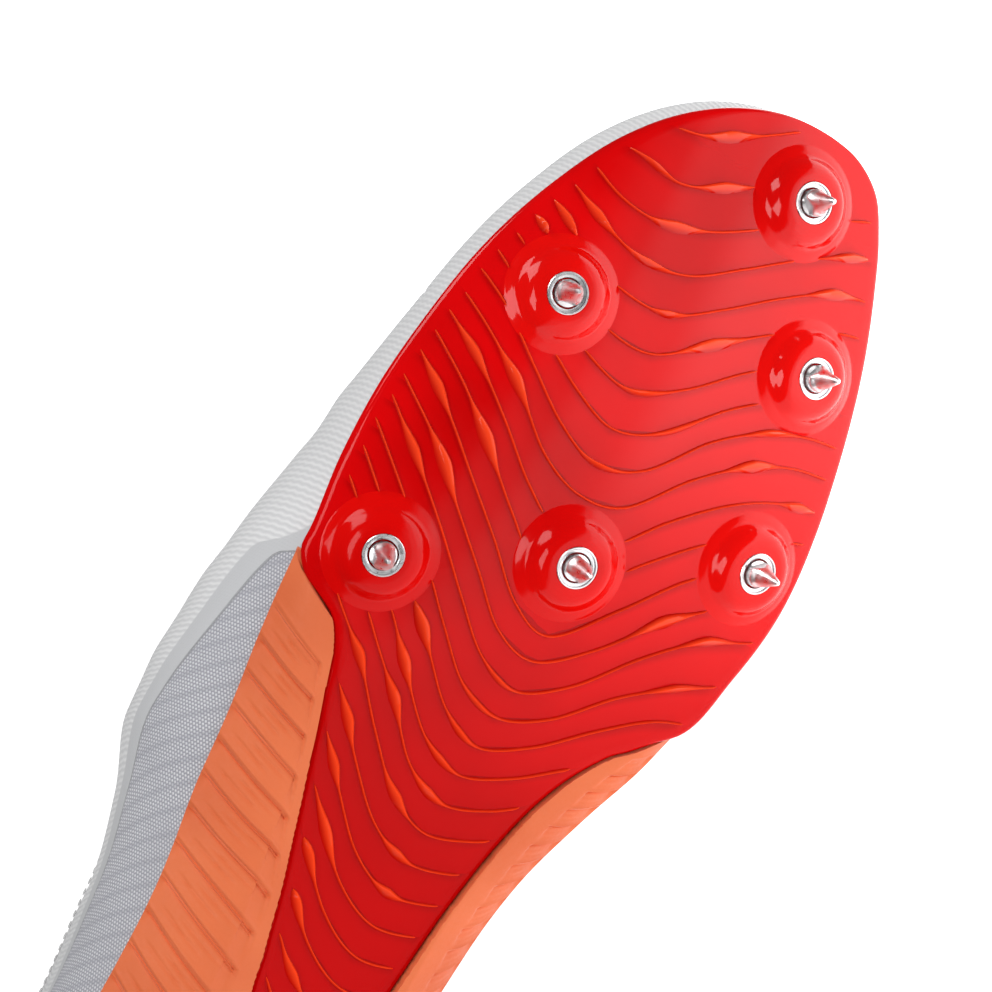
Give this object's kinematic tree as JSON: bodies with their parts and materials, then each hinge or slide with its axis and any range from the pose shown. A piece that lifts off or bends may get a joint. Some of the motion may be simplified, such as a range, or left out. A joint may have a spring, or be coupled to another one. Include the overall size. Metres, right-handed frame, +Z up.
{
  "type": "track spike shoe",
  "caption": "Track sprint shoe with a rigid moulded forefoot plate, screw-in steel spikes, ribbed foam rails and a laced knit upper, lying on its side.",
  "frame": {"origin": "middle of the bounding box's base: the floor under the shoe as it lies on its medial side", "axes": "+X from the heel to the toe, -Y out of the sole's underside, +Z up, from the shoe's medial side to its lateral side"},
  "size_m": [0.2856, 0.0918, 0.0991],
  "materials": {
    "plate_red": "clear glossy moulded plastic, tinted deep red",
    "foam_orange": "matte orange foam with shingled ribs",
    "mesh_white": "white and light grey knit mesh under a thin film",
    "film_grey": "smooth light grey film overlay",
    "lining_grey": "light grey lining textile",
    "lace_white": "flat woven white lace",
    "steel": "bright turned steel"
  },
  "bodies": {
    "root": {"spike_plate": "plate_red", "midsole": "foam_orange", "upper": "mesh_white", "eyestay": "film_grey", "tongue": "lining_grey", "insole": "lining_grey", "laces": "lace_white", "spike_seat_1": "steel", "spike_1": "steel", "spike_seat_2": "steel", "spike_2": "steel", "spike_seat_3": "steel", "spike_3": "steel", "spike_seat_4": "steel", "spike_4": "steel", "spike_seat_5": "steel", "spike_5": "steel", "spike_seat_6": "steel", "spike_6": "steel"}
  },
  "joints": []
}
